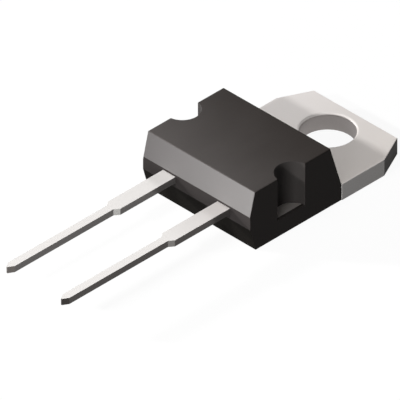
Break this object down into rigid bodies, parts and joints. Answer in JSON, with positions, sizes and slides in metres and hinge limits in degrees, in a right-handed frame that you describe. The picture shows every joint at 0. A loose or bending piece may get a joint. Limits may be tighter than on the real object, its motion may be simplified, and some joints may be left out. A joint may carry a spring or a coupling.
{
  "type": "schottky diode",
  "caption": "Two-lead power rectifier diode: a black moulded body on a metal mounting tab with a screw hole, and two straight tinned leads.",
  "frame": {"origin": "centre of the mounting hole at the bare back face of the tab", "axes": "+Z out of the back face through the body's height, +Y to the free end of the tab, the two leads point to -Y, and X is across the package"},
  "size_m": [0.01, 0.0299, 0.0047],
  "materials": {
    "moulding_compound": "satin black epoxy moulding",
    "tinned_copper": "satin tin plating over copper",
    "solder": "dull solder",
    "silicon": "polished silicon with a metal top",
    "bond_aluminium": "bright drawn wire"
  },
  "bodies": {
    "root": {"moulded_body": "moulding_compound", "heat_spreader": "tinned_copper", "anode_lead": "tinned_copper", "die_attach_solder": "solder", "schottky_die": "silicon", "bond_wire_1": "bond_aluminium", "bond_wire_2": "bond_aluminium"}
  },
  "joints": []
}
